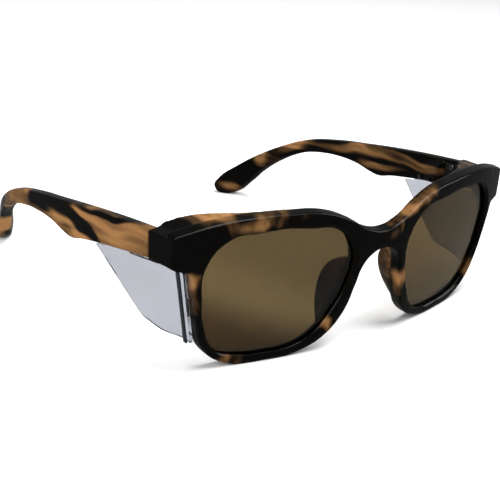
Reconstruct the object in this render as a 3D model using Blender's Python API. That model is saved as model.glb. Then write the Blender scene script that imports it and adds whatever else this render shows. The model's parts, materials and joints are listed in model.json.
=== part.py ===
"""Glacier sunglasses: a tortoiseshell frame with tinted lenses, clear side shields and
temples that fold inwards on small metal hinges.

Everything is drawn in the frame's own upright position, in metres: X runs to the wearer's
left, Y from the front face back towards the ears and Z up, with the origin midway between
the two lens centres on the front face. The "stance" empty then leans the drawing back
until both rims and both temple tips rest on Z = 0.
"""
import math

import bmesh
import bpy
from mathutils import Matrix, Vector

MM = 0.001
GAP = 0.3 * MM                      # clearance kept between neighbouring pieces

# Front: a shallow bowl, front face depth = FACE_CURVE_X * x^2 + FACE_CURVE_Z * z^2
FACE_CURVE_X = 2.74                 # per metre
FACE_CURVE_Z = 3.11
RIM_DEPTH = 4.7 * MM                # front face to back face
RIM_EDGE = 0.8 * MM                 # chamfer around the outline and the lens openings
BROW_DROP = 0.15                    # the endpiece's top falls towards the temple
LENS_THICKNESS = 1.8 * MM
LENS_SET_BACK = 1.8 * MM            # lens front surface behind the front face
LENS_OVERLAP = 1.0 * MM             # how far the lens reaches into its groove

# Temples and hinges
HALF_WIDTH = 70.8 * MM              # outer face of endpieces and temples at the hinge
TEMPLE_THICKNESS = 4.3 * MM
TEMPLE_EDGE = 0.8 * MM
BOSS = 2.4 * MM                     # extra thickness inwards, just behind the hinge leaf
BOSS_FROM = 36.2 * MM
BOSS_TO = 44 * MM
BUTT_Y = 26.8 * MM                  # joint between endpiece and temple
HINGE_Z = 12.7 * MM
EDGE_Z = 8.4 * MM                   # lower edge of endpiece and temple at that joint
EDGE_SLOPE = 0.266
HINGE_TILT = math.radians(10)       # top of the hinge axis leans back
PIVOT_X = HALF_WIDTH - TEMPLE_THICKNESS - 1.9 * MM
BARREL_RADIUS = 1.6 * MM
BARREL_BORE = 1.0 * MM
KNUCKLE = 2.1 * MM                  # height of each of the three knuckles
LEAF_START = 0.7 * MM               # leaf edge beside the butt joint
LEAF_LENGTH = 8.6 * MM
LEAF_THICKNESS = 1.0 * MM
LEAF_PROUD = 0.4 * MM               # leaf face above the plastic it is let into
FIXING_SPREAD = 2.2 * MM            # leaf screws above and below the middle of the leaf

# Temple line seen from above: a slow inward sweep, then the bend behind the ear
SWEEP_FROM = 50 * MM
SWEEP = 0.9                         # per metre
HOOK_FROM = 100 * MM
HOOK = 8.4                          # per metre

# Side shields
SHIELD_THICKNESS = 1.2 * MM
SHIELD_X = HALF_WIDTH - TEMPLE_THICKNESS / 2 + 0.15 * MM
SHIELD_LEAN = 0.19                  # inward lean per unit of drop
CURL_FROM = 24 * MM                 # ahead of this the shield curls in towards the rim
CURL_TO = 15.5 * MM                 # and from here forward it runs along the rim's side
SEAL_WIDTH = 1.4 * MM
SEAL_THICKNESS = 0.7 * MM
PIN_RADIUS = 0.7 * MM
PIN_PLACES = (39.5 * MM, 46.5 * MM)     # distance back from the front face

# Temple core wire
WIRE_WIDTH = 1.1 * MM
WIRE_HEIGHT = 1.9 * MM
WIRE_END = 118 * MM

# Outlines, in millimetres. A third value "corner" marks a sharp point.
FRONT_HALF = [
    (0, 15.4), (8.5, 17.4), (14.5, 20.8), (24, 24.1), (34, 24.9), (48, 24.7), (60, 23.0),
    (70.8, 19.8, "corner"), (70.3, 9.7, "corner"), (65.5, 8.9, "corner"), (63.2, -1.5),
    (61.7, -8.9), (58.8, -16.6), (51.2, -22.2), (37, -23.5), (26.8, -22.0), (18.6, -18.2),
    (12.6, -10.6), (9.7, -1.0), (8.0, 4.8), (4.6, 8.2), (0, 9.4)]
LENS_OPENING = [
    (61.0, 0), (61.0, 9.9), (54.9, 17.8), (45.2, 19.6), (37.1, 20.2), (29, 19.5), (19.1, 18.0),
    (12.4, 10.2), (13.2, 0), (16.7, -8.4), (21.5, -15.6), (28.9, -19.6), (37.1, -20.2),
    (45.4, -20.1), (54.5, -17.4), (59.2, -9.2)]
CORNER_BLOCK = [                    # seen from above: x, y
    (70.8, 15.3, "corner"), (70.8, 29, "corner"), (66.5, 29, "corner"), (62.6, 25.6),
    (59.5, 24.2), (56.4, 22.5), (52, 19.2), (47.5, 15.9), (40.2, 12.5),
    (33, 9.3, "corner"), (33, 6.5, "corner"), (46, 9.2), (55, 11.6), (64, 14.4)]
BELOW_BROW = [(80, 17, "corner"), (80, 0, "corner"), (24, 0, "corner")]
TEMPLE = [                          # seen from the side: y, z
    (23, 18.0, "corner"), (41, 14.5), (61, 10.0), (76, 6.2), (91, 2.2), (105, -2.8),
    (114.5, -8.4), (122.8, -14.6), (130.6, -22.1), (136.4, -29.4), (137.4, -33.4),
    (134.7, -36.0), (130.8, -34.4), (126.5, -28.9), (121.9, -22.1), (115, -15.0),
    (106.5, -9.0), (97, -5.2), (87, -3.0), (77.5, -2.3), (71, -2.9), (66, -2.9), (60, -0.7),
    (48, 2.8), (23, 9.2, "corner")]
PAD = [                             # depth behind the front face, z
    (5.0, 7.0, "corner"), (8.6, 5.0), (11.7, 1.2), (12.2, -3.4), (10.4, -8.6), (7.6, -12.4),
    (5.0, -15.0, "corner")]


# ---------------------------------------------------------------- helpers

def clear_scene():
    for old in list(bpy.data.objects):
        bpy.data.objects.remove(old, do_unlink=True)


def collection(name):
    group = bpy.data.collections.new(name)
    bpy.context.scene.collection.children.link(group)
    return group


def material(name, colour, roughness, metallic=0.0, alpha=1.0):
    made = bpy.data.materials.new(name)
    made.use_nodes = True
    shader = made.node_tree.nodes["Principled BSDF"]
    shader.inputs["Base Color"].default_value = (*colour, 1.0)
    shader.inputs["Roughness"].default_value = roughness
    shader.inputs["Metallic"].default_value = metallic
    shader.inputs["Alpha"].default_value = alpha
    made.diffuse_color = (*colour, alpha)
    return made


def outline(points, offset=(0, 0)):
    """Curve points in metres, each with a flag that says whether it is a corner."""
    return [((p[0] * MM + offset[0], p[1] * MM + offset[1]), len(p) == 3) for p in points]


def plate(name, loops, thickness, edge=0.0, grow=0.0, facets=3):
    """A flat plate in the XY plane from closed outlines; the second and later are holes."""
    curve = bpy.data.curves.new(name, "CURVE")
    curve.dimensions = "2D"
    curve.fill_mode = "BOTH"
    curve.resolution_u = facets
    curve.extrude = thickness / 2 - edge
    curve.bevel_depth = edge
    curve.bevel_resolution = 0
    curve.offset = grow - edge
    for loop in loops:
        spline = curve.splines.new("BEZIER")
        spline.bezier_points.add(len(loop) - 1)
        spline.use_cyclic_u = True
        for knot, (place, is_corner) in zip(spline.bezier_points, loop):
            knot.co = (*place, 0)
            kind = "VECTOR" if is_corner else "AUTO"
            knot.handle_left_type = kind
            knot.handle_right_type = kind
    drawn = bpy.data.objects.new(name, curve)
    parts.objects.link(drawn)
    shape = drawn.evaluated_get(bpy.context.evaluated_depsgraph_get())
    mesh = bpy.data.meshes.new_from_object(shape)
    bpy.data.objects.remove(drawn, do_unlink=True)
    bpy.data.curves.remove(curve)
    solid = bmesh.new()
    solid.from_mesh(mesh)
    bpy.data.meshes.remove(mesh)
    bmesh.ops.remove_doubles(solid, verts=solid.verts, dist=0.001 * MM)
    return solid


def crease(solid, point, normal):
    """Add a cross cut without removing anything, so that the solid can bend along it."""
    bmesh.ops.bisect_plane(
        solid, geom=solid.verts[:] + solid.edges[:] + solid.faces[:], dist=1e-7,
        plane_co=point, plane_no=normal)


def slices(solid, axis, places):
    """Add evenly spaced cross cuts so that a later bend follows its curve."""
    normal = Vector((0, 0, 0))
    normal[axis] = 1
    for place in places:
        crease(solid, normal * place, normal)


def trim(solid, point, normal):
    """Cut away everything on the normal's side of a plane and close the cut."""
    cut = bmesh.ops.bisect_plane(
        solid, geom=solid.verts[:] + solid.edges[:] + solid.faces[:], dist=1e-7,
        plane_co=point, plane_no=normal, clear_outer=True)
    edges = [item for item in cut["geom_cut"] if isinstance(item, bmesh.types.BMEdge)]
    bmesh.ops.holes_fill(solid, edges=edges, sides=0)


def bend(solid, place):
    """Move each point (u, v, w) of a flat plate to its real position."""
    for vert in solid.verts:
        vert.co = place(*vert.co)
    bmesh.ops.recalc_face_normals(solid, faces=solid.faces)


def steps(start, stop, step):
    count = int(round((stop - start) / step))
    return [start + step * index for index in range(1, count)]


def finished(name, solid, look, parent, smooth=40):
    """Turn the bmesh into a named object under its parent empty."""
    bmesh.ops.recalc_face_normals(solid, faces=solid.faces)
    bmesh.ops.triangulate(solid, faces=[f for f in solid.faces if len(f.verts) > 4])
    mesh = bpy.data.meshes.new(name)
    solid.to_mesh(mesh)
    solid.free()
    if parent.parent:
        mesh.transform(parent.matrix_local.inverted())
    mesh.shade_smooth()
    mesh.set_sharp_from_angle(angle=math.radians(smooth))
    made = bpy.data.objects.new(name, mesh)
    made.parent = parent
    if look:
        mesh.materials.append(look)
        parts.objects.link(made)
    else:
        cutters.objects.link(made)
        made.hide_render = True
        made.display_type = "WIRE"
    return made


def combine(target, tool, operation):
    change = target.modifiers.new(tool.name, "BOOLEAN")
    change.operation = operation
    change.solver = "EXACT"
    change.object = tool


def cylinder(radius, low, high, sides=20):
    """A bmesh cylinder along Z between two heights."""
    solid = bmesh.new()
    bmesh.ops.create_cone(solid, cap_ends=True, segments=sides, radius1=radius, radius2=radius,
                          depth=high - low, matrix=Matrix.Translation((0, 0, (low + high) / 2)))
    return solid


def box(low, high):
    """A bmesh box between two corners."""
    solid = bmesh.new()
    bmesh.ops.create_cube(solid, size=1)
    for vert in solid.verts:
        for axis in range(3):
            vert.co[axis] = high[axis] if vert.co[axis] > 0 else low[axis]
    return solid


def moved(solid, matrix):
    bmesh.ops.transform(solid, matrix=matrix, verts=solid.verts)
    return solid


# ---------------------------------------------------------------- shape rules

def face_depth(x, z):
    return FACE_CURVE_X * x * x + FACE_CURVE_Z * z * z


def on_face(x, z, depth):
    """The point at this depth behind the curved front face."""
    return Vector((x, face_depth(x, z) + depth, z))


def temple_x(y):
    """Middle of the temple's thickness, seen from above."""
    hook = max(0.0, y - HOOK_FROM)
    sweep = max(0.0, y - SWEEP_FROM)
    return HALF_WIDTH - TEMPLE_THICKNESS / 2 - SWEEP * sweep ** 2 - HOOK * hook ** 2


def temple_slope(y):
    step = 0.5 * MM
    return (temple_x(y + step) - temple_x(y - step)) / (2 * step)


def temple_point(side, y, z, w):
    """w is measured across the temple's thickness, outwards."""
    return Vector((side * (temple_x(y) + w * math.hypot(1, temple_slope(y))), y, z))


def boss_point(side, y, z, w):
    """The same, with the boss behind the hinge leaf on the inner side."""
    rise = min(1.0, max(0.0, (y - BOSS_FROM) / MM))
    fall = min(1.0, max(0.0, (BOSS_TO - y) / (BOSS_TO - BOSS_FROM - MM)))
    inwards = max(0.0, -w) / (TEMPLE_THICKNESS / 2)
    return temple_point(side, y, z, w - BOSS * rise * fall * inwards)


def lower_edge(y):
    """Height of the lower edge of the endpiece and the front of the temple."""
    return EDGE_Z - EDGE_SLOPE * (y - BUTT_Y)


def shield_x(y, z):
    """Middle of the shield's thickness: a leaning panel that ends along the rim's side."""
    panel = SHIELD_X - SHIELD_LEAN * max(0.0, lower_edge(y) - z)
    lip = rim_side(z) + GAP + SHIELD_THICKNESS / 2
    part = min(1.0, max(0.0, (CURL_FROM - y) / (CURL_FROM - CURL_TO)))
    return panel + (lip - panel) * part * part * (3 - 2 * part)


def rim_side(z):
    """Outer side of the rim below the endpiece."""
    return 63.8 * MM + 0.22 * z


def nasal_edge(z):
    """Nose side of the rim, from the middle of the bridge."""
    return 9.55 * MM - 0.17 * z + 20 * z * z


# ---------------------------------------------------------------- front

def front_loops():
    half = outline(FRONT_HALF)
    other = [((-place[0], place[1]), corner) for place, corner in reversed(half[1:-1])]
    lens = outline(LENS_OPENING)
    lens_other = [((-place[0], place[1]), corner) for place, corner in lens]
    return half + other, lens, lens_other


def build_front():
    outer, left, right = front_loops()
    solid = plate("front_frame", [outer, left, right], RIM_DEPTH, edge=RIM_EDGE)
    slices(solid, 0, steps(-72 * MM, 72 * MM, 8 * MM))
    slices(solid, 1, steps(-24 * MM, 28 * MM, 13 * MM))
    bend(solid, lambda x, z, w: on_face(x, z, RIM_DEPTH / 2 - w))
    rest_flat(solid)
    front = finished("front_frame", solid, tortoise("front_frame"), stance)
    for side, label in SIDES:
        combine(front, build_corner_block(side, label), "UNION")
        combine(front, lens_solid(side, f"groove_{label}", GAP, None), "DIFFERENCE")
        combine(front, build_hinge_recess(side, label), "DIFFERENCE")
        for index in range(2):
            hole = fixing_hole(side, f"front_fixing_hole_{index}_{label}", -1, index, stance)
            combine(front, hole, "DIFFERENCE")
    return front


def build_corner_block(side, label):
    """The endpiece: it wraps back from the brow to the temple."""
    solid = plate(f"corner_{label}", [outline(CORNER_BLOCK)], 24 * MM)
    bend(solid, lambda x, y, w: Vector((side * x, y, 16 * MM + w)))
    trim(solid, Vector((0, BUTT_Y, lower_edge(BUTT_Y))), Vector((0, -0.15, -1)))
    trim(solid, Vector((0, BUTT_Y - GAP / 2, HINGE_Z)), hinge_normal())
    block = finished(f"corner_{label}", solid, None, stance)
    brow = plate(f"brow_{label}", [outline(FRONT_HALF[3:8] + BELOW_BROW)], 28 * MM)
    slices(brow, 0, steps(58.5 * MM, 72.5 * MM, 2 * MM))
    bend(brow, lambda x, z, w: brow_point(side, x, 19 * MM + w, z))
    combine(block, finished(f"brow_{label}", brow, None, stance), "INTERSECT")
    window = plate(f"window_{label}", [front_loops()[1]], 60 * MM)
    bend(window, lambda x, z, w: Vector((side * x, 30 * MM + w, z)))
    combine(block, finished(f"window_{label}", window, None, stance), "DIFFERENCE")
    shelf = box((-30 * MM, -7.6 * MM, -12 * MM),
                (HALF_WIDTH - TEMPLE_THICKNESS - PIVOT_X, 6 * MM, 4.7 * MM))
    combine(block, finished(f"shelf_{label}", in_hinge(side, shelf), None, stance), "DIFFERENCE")
    return block


def brow_point(side, x, y, z):
    """The brow's outline carried back over the endpiece, falling faster over the hinge."""
    over_hinge = min(1.0, max(0.0, (x - 62.5 * MM) / (4 * MM)))
    outside = min(1.0, max(0.0, (x - 66.5 * MM) / (4.3 * MM)))
    drop = BROW_DROP + 0.10 * over_hinge - 0.02 * outside
    behind = max(0.0, y - face_depth(x, z) - 3 * MM)
    return Vector((side * x, y, z - drop * behind - 0.1 * MM))


def lens_solid(side, name, extra, look):
    """The lens, or with extra clearance the groove that holds it."""
    solid = plate(name, [front_loops()[1]], LENS_THICKNESS + 2 * extra,
                  grow=LENS_OVERLAP + extra)
    slices(solid, 0, steps(8 * MM, 68 * MM, 7.5 * MM))
    slices(solid, 1, steps(-24 * MM, 24 * MM, 12 * MM))
    middle = LENS_SET_BACK + LENS_THICKNESS / 2
    bend(solid, lambda x, z, w: on_face(side * x, z, middle + w))
    return finished(name, solid, look, stance)


def build_pad(side, label):
    """Nose pad bonded behind the nasal side of the rim."""
    solid = plate(f"nose_pad_{label}", [outline(PAD)], 2.6 * MM, edge=0.6 * MM)
    slices(solid, 1, steps(-15 * MM, 7 * MM, 5.5 * MM))

    def place(depth, z, w):
        x = nasal_edge(z) + 1.4 * MM + 0.25 * (depth - RIM_DEPTH) + w
        return on_face(side * x, z, depth)

    bend(solid, place)
    return finished(f"nose_pad_{label}", solid, tortoise("nose_pad"), stance)


# ---------------------------------------------------------------- hinges

def hinge_normal():
    """Direction from the endpiece to the temple, square to the hinge axis."""
    return Vector((0, math.cos(HINGE_TILT), -math.sin(HINGE_TILT)))


def hinge_matrix(side):
    """Hinge frame: origin on the axis, Z along it, Y towards the temple."""
    turn = Matrix.Rotation(-HINGE_TILT, 4, "X")
    return Matrix.Translation((side * PIVOT_X, BUTT_Y, HINGE_Z)) @ turn


def in_hinge(side, solid):
    """Place a solid drawn around the left hinge; the right one is its mirror image."""
    return moved(solid, hinge_matrix(side) @ Matrix.Scale(side, 4, (1, 0, 0)))


def leaf_box(towards, extra=0.0):
    """The flat leaf, or with extra its recess, which runs out through the butt joint.

    towards is +1 for the temple and -1 for the front.
    """
    inner = HALF_WIDTH - TEMPLE_THICKNESS - PIVOT_X - LEAF_PROUD
    half = 1.5 * KNUCKLE + GAP
    near, far = (-MM if extra else LEAF_START) * towards, (LEAF_LENGTH + extra) * towards
    return box((inner - extra, min(near, far), -half - extra),
               (inner + LEAF_THICKNESS + extra, max(near, far), half + extra))


def build_hinge_recess(side, label):
    return finished(f"front_recess_{label}", in_hinge(side, leaf_box(-1, GAP)), None, stance)


def fixing_places(towards):
    reach = LEAF_LENGTH * 0.58 * towards
    return [(reach, FIXING_SPREAD * sign) for sign in (-1, 1)]


def sideways(y, z):
    """Turn a cylinder drawn along Z so that it runs outwards through (y, z)."""
    return Matrix.Translation((0, y, z)) @ Matrix.Rotation(math.radians(90), 4, "Y")


def build_leaf(side, name, towards, knuckle_places, parent):
    inner = HALF_WIDTH - TEMPLE_THICKNESS - PIVOT_X - LEAF_PROUD
    leaf = finished(name, in_hinge(side, leaf_box(towards)), blackened(name), parent)
    for index, middle in enumerate(knuckle_places):
        low, high = middle - KNUCKLE / 2, middle + KNUCKLE / 2
        barrel = finished(f"{name}_barrel_{index}",
                          in_hinge(side, cylinder(BARREL_RADIUS, low, high)), None, parent)
        near, far = 0.2 * MM * towards, 2.6 * MM * towards
        web = box((BARREL_BORE * 0.9, min(near, far), low + 0.15 * MM),
                  (inner + LEAF_THICKNESS / 2, max(near, far), high - 0.15 * MM))
        web = finished(f"{name}_web_{index}", in_hinge(side, web), None, parent)
        combine(leaf, barrel, "UNION")
        combine(leaf, web, "UNION")
    bore = cylinder(BARREL_BORE, -6 * MM, 6 * MM, 16)
    combine(leaf, finished(f"{name}_bore", in_hinge(side, bore), None, parent), "DIFFERENCE")
    for index, (y, z) in enumerate(fixing_places(towards)):
        hole = moved(cylinder(0.8 * MM, inner - MM, inner + 3 * MM, 12), sideways(y, z))
        hole = finished(f"{name}_hole_{index}", in_hinge(side, hole), None, parent)
        combine(leaf, hole, "DIFFERENCE")
    return leaf


def build_fixing(side, name, towards, index, parent):
    """A short screw through the leaf into the plastic, with a domed head."""
    inner = HALF_WIDTH - TEMPLE_THICKNESS - PIVOT_X - LEAF_PROUD
    y, z = fixing_places(towards)[index]
    shank = moved(cylinder(0.5 * MM, inner - 0.4 * MM, inner + 2.3 * MM, 12), sideways(y, z))
    screw = finished(name, in_hinge(side, shank), steel(name), parent)
    head = moved(cylinder(1.0 * MM, inner - GAP - 0.5 * MM, inner - GAP, 12), sideways(y, z))
    head = finished(f"{name}_head", in_hinge(side, head), None, parent)
    combine(screw, head, "UNION")
    return screw


def fixing_hole(side, name, towards, index, parent):
    inner = HALF_WIDTH - TEMPLE_THICKNESS - PIVOT_X - LEAF_PROUD
    y, z = fixing_places(towards)[index]
    hole = moved(cylinder(0.8 * MM, inner, inner + 2.6 * MM, 12), sideways(y, z))
    return finished(name, in_hinge(side, hole), None, parent)


def build_hinge_screw(side, label, parent):
    """The pivot screw: a shank through all three knuckles and a head on top."""
    top = 1.5 * KNUCKLE + GAP
    name = f"hinge_screw_{label}"
    shank = cylinder(BARREL_BORE - GAP, -top, top + GAP + 0.3 * MM, 16)
    screw = finished(name, in_hinge(side, shank), steel(name), parent)
    head = cylinder(BARREL_RADIUS * 0.9, top + GAP, top + GAP + 0.6 * MM, 16)
    combine(screw, finished(f"{name}_head", in_hinge(side, head), None, parent), "UNION")
    return screw


# ---------------------------------------------------------------- temples

def build_temple(side, label, parent):
    name = f"temple_{label}"
    solid = plate(name, [outline(TEMPLE)], TEMPLE_THICKNESS, edge=TEMPLE_EDGE)
    slices(solid, 0, [BOSS_FROM, BOSS_FROM + MM, BOSS_TO])
    slices(solid, 0, steps(24 * MM, 96 * MM, 12 * MM) + steps(92 * MM, 142 * MM, 5 * MM))
    bend(solid, lambda y, z, w: boss_point(side, y, z, w))
    rest_flat(solid)
    trim(solid, Vector((0, BUTT_Y + GAP / 2, HINGE_Z)), -hinge_normal())
    temple = finished(name, solid, tortoise(name), parent)
    combine(temple, finished(f"temple_recess_{label}", in_hinge(side, leaf_box(1, GAP)),
                             None, parent), "DIFFERENCE")
    for index in range(2):
        combine(temple, fixing_hole(side, f"{name}_fixing_hole_{index}", 1, index, parent),
                "DIFFERENCE")
    combine(temple, shield_slot(side, label, parent), "DIFFERENCE")
    for index, place in enumerate(PIN_PLACES):
        hole = pin_solid(side, place, PIN_RADIUS + GAP, -BOSS - GAP, 0.3 * MM)
        combine(temple, finished(f"{name}_pin_hole_{index}", hole, None, parent), "DIFFERENCE")
    combine(temple, wire_solid(side, f"{name}_wire_hole", GAP, None, parent), "DIFFERENCE")
    return temple


def wire_middle(y):
    """Height of the core wire's middle, which follows the temple and drops at the bend."""
    straight = 12.9 * MM - 0.245 * (y - BUTT_Y)
    return straight - 18 * max(0.0, y - 98 * MM) ** 2


def wire_solid(side, name, extra, look, parent):
    start = BUTT_Y + (0.4 * MM if look else -3 * MM)
    solid = box((start, -0.5, -0.5), (WIRE_END + extra, 0.5, 0.5))
    slices(solid, 0, steps(28 * MM, 100 * MM, 18 * MM) + steps(94 * MM, 124 * MM, 6 * MM))
    width, height = WIRE_WIDTH + 2 * extra, WIRE_HEIGHT + 2 * extra

    def place(y, v, w):
        return temple_point(side, y, wire_middle(y) + v * height, w * width + 0.25 * MM)

    bend(solid, place)
    return finished(name, solid, look, parent)


# ---------------------------------------------------------------- side shields

def tongue_points(extra=0.0):
    """The strip of the shield that sits in the temple's slot: y, z in metres."""
    front, back, rise = 36.6 * MM - extra, 49.6 * MM + extra, 2.5 * MM + extra
    return [(front, lower_edge(front) + rise), (back, lower_edge(back) + rise)]


def as_corners(points):
    return [(place, True) for place in points]


def shield_outline():
    lip_top, lip_foot = (13.9 * MM, 8.4 * MM), (12.3 * MM, -14.7 * MM)
    (y0, z0), (y1, z1) = tongue_points()
    below = 0.7 * MM
    upper = [lip_top, (18 * MM, 9.1 * MM), (y0, lower_edge(y0) - below), (y0, z0), (y1, z1),
             (y1, lower_edge(y1) - below), (54.0 * MM, lower_edge(54.0 * MM) - below)]
    lower = [((34.2 * MM, -13.5 * MM), False), ((32.2 * MM, -14.5 * MM), False),
             ((29.4 * MM, -14.8 * MM), False)]
    return as_corners(upper) + lower + as_corners([lip_foot])


def shield_place(side):
    return lambda y, z, w: Vector((side * (shield_x(y, z) + w), y, z))


def build_shield(side, label, parent):
    name = f"side_shield_{label}"
    solid = plate(name, [shield_outline()], SHIELD_THICKNESS, facets=4)
    slices(solid, 0, steps(13 * MM, 25 * MM, 1.5 * MM))
    slices(solid, 1, steps(-16 * MM, 12 * MM, 7 * MM))
    crease(solid, Vector((BUTT_Y, lower_edge(BUTT_Y), 0)), Vector((EDGE_SLOPE, 1, 0)))
    bend(solid, shield_place(side))
    shield = finished(name, solid, clear(name), parent)
    for index, place in enumerate(PIN_PLACES):
        hole = pin_solid(side, place, PIN_RADIUS + GAP, 0, MM)
        combine(shield, finished(f"{name}_pin_hole_{index}", hole, None, parent), "DIFFERENCE")
    return shield


def shield_slot(side, label, parent):
    (y0, z0), (y1, z1) = tongue_points(GAP)
    points = [(y0, z0), (y1, z1), (y1, z1 - 8 * MM), (y0, z0 - 8 * MM)]
    solid = plate("slot", [as_corners(points)], SHIELD_THICKNESS + 2 * GAP)
    bend(solid, lambda y, z, w: Vector((side * (SHIELD_X + w), y, z)))
    return finished(f"shield_slot_{label}", solid, None, parent)


def build_seal(side, label, parent):
    """Dark strip along the outside of the shield's front edge."""
    name = f"shield_seal_{label}"
    top, foot = (15.7 * MM, 8.5 * MM), (14.4 * MM, -14.9 * MM)
    half = SEAL_WIDTH / 2
    points = [((top[0] - half, top[1]), True), ((top[0] + half, top[1]), True),
              ((foot[0] + half, foot[1]), False), ((foot[0], foot[1] - half), False),
              ((foot[0] - half, foot[1]), False)]
    solid = plate(name, [points], SEAL_THICKNESS, facets=2)
    slices(solid, 1, steps(-16 * MM, 12 * MM, 7 * MM))
    out = SHIELD_THICKNESS / 2 + GAP + SEAL_THICKNESS / 2
    bend(solid, lambda y, z, w: shield_place(side)(y, z, w + out))
    return finished(name, solid, rubber(name), parent)


def pin_solid(side, y, radius, start, extra):
    """A pin or its hole, from the temple's inner face outwards through the tongue."""
    z = lower_edge(y) + 1.3 * MM
    inner = HALF_WIDTH - TEMPLE_THICKNESS
    solid = cylinder(radius, inner + start, SHIELD_X + SHIELD_THICKNESS / 2 + GAP + extra, 12)
    turn = Matrix.Rotation(math.radians(90) * side, 4, "Y")
    return moved(solid, Matrix.Translation((0, y, z)) @ turn)


# ---------------------------------------------------------------- resting facets

def lean_angle():
    """The lean that brings the temple tips down to the level of the rims."""
    reach = (134.7 - 5.4) * MM
    drop = (36.0 - 23.2) * MM
    return math.atan2(drop, reach)


def rest_flat(solid):
    """Slice a thin flat facet where the piece stands on the table."""
    normal = Matrix.Rotation(-lean_angle(), 3, "X") @ Vector((0, 0, 1))
    trim(solid, normal * TABLE_Z, -normal)


# ---------------------------------------------------------------- looks

def tortoise(name):
    return material(name, (0.16, 0.075, 0.03), 0.18)


def tint(name):
    return material(name, (0.13, 0.095, 0.06), 0.05, alpha=0.85)


def clear(name):
    return material(name, (0.62, 0.64, 0.70), 0.08, alpha=0.45)


def rubber(name):
    return material(name, (0.015, 0.015, 0.02), 0.45)


def blackened(name):
    return material(name, (0.05, 0.048, 0.045), 0.35, metallic=1.0)


def steel(name):
    return material(name, (0.6, 0.6, 0.6), 0.25, metallic=1.0)


# ---------------------------------------------------------------- assembly

SIDES = ((1, "left"), (-1, "right"))
TABLE_Z = -22.3 * MM                # height of the table in the leaned drawing

clear_scene()
parts = collection("glacier_glasses")
cutters = collection("cutters")

stance = bpy.data.objects.new("stance", None)
parts.objects.link(stance)
stance.rotation_euler.x = lean_angle()
stance.location = (0, -69.6 * MM, -TABLE_Z)

build_front()
for sign, label in SIDES:
    hinge = bpy.data.objects.new(f"hinge_{label}", None)
    parts.objects.link(hinge)
    hinge.parent = stance
    hinge.matrix_local = hinge_matrix(sign)
    bpy.context.view_layer.update()

    lens_solid(sign, f"lens_{label}", 0.0, tint(f"lens_{label}"))
    build_pad(sign, label)
    knuckle_step = KNUCKLE + GAP
    build_leaf(sign, f"front_hinge_leaf_{label}", -1, (-knuckle_step, knuckle_step), stance)
    build_leaf(sign, f"temple_hinge_leaf_{label}", 1, (0.0,), hinge)
    build_hinge_screw(sign, label, stance)
    for index, place in enumerate(("lower", "upper")):
        build_fixing(sign, f"front_leaf_screw_{place}_{label}", -1, index, stance)
        build_fixing(sign, f"temple_leaf_screw_{place}_{label}", 1, index, hinge)
    build_temple(sign, label, hinge)
    wire_solid(sign, f"temple_core_wire_{label}", 0.0, steel("core_wire"), hinge)
    build_shield(sign, label, hinge)
    build_seal(sign, label, hinge)
    for place, pin_y in zip(("front", "rear"), PIN_PLACES):
        name = f"shield_pin_{place}_{label}"
        finished(name, pin_solid(sign, pin_y, PIN_RADIUS, 0.2 * MM, 0.0), steel(name), hinge)
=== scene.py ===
"""Looks of the glacier sunglasses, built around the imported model.

Shapes are drawn in the frame's own upright position, as the model draws them: X runs to
the wearer's left, Y from the front face back towards the ears and Z up, with the origin
midway between the two lens centres on the front face. STANCE carries that drawing to the
row frame, where the open glasses rest on Z = 0.
"""
import json
import math

import bmesh
import bpy
from mathutils import Matrix, Vector


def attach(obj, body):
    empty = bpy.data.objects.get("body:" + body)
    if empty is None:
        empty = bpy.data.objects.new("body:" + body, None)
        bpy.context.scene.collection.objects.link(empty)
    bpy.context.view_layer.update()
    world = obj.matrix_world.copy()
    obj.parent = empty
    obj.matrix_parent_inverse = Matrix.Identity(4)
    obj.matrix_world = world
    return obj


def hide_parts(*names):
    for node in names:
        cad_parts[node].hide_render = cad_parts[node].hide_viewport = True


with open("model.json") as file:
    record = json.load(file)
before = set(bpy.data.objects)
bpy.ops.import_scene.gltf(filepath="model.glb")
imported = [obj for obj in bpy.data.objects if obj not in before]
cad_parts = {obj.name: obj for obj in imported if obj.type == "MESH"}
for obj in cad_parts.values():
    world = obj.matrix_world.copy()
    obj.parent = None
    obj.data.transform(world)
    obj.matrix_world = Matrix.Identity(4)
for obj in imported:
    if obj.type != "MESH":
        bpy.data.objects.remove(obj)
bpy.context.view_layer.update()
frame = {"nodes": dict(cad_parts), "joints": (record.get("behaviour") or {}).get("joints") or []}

MM = 0.001
GAP = 0.3 * MM                      # clearance kept between neighbouring pieces
SIDES = ((1, "left"), (-1, "right"))

# Front: a shallow bowl, front face depth = FACE_CURVE_X * x^2 + FACE_CURVE_Z * z^2
FACE_CURVE_X = 2.74                 # per metre
FACE_CURVE_Z = 3.11
RIM_DEPTH = 4.7 * MM
RIM_EDGE = 0.6 * MM
RIM_BEVEL = 1.2 * MM                # width of the bevel around the front of each lens
BROW_DROP = 0.15                    # the endpiece's top falls towards the temple
LENS_THICKNESS = 1.8 * MM
LENS_SET_BACK = 1.8 * MM
LENS_OVERLAP = 1.0 * MM
LENS_MIDDLE = (37.1 * MM, 0.0)

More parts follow.
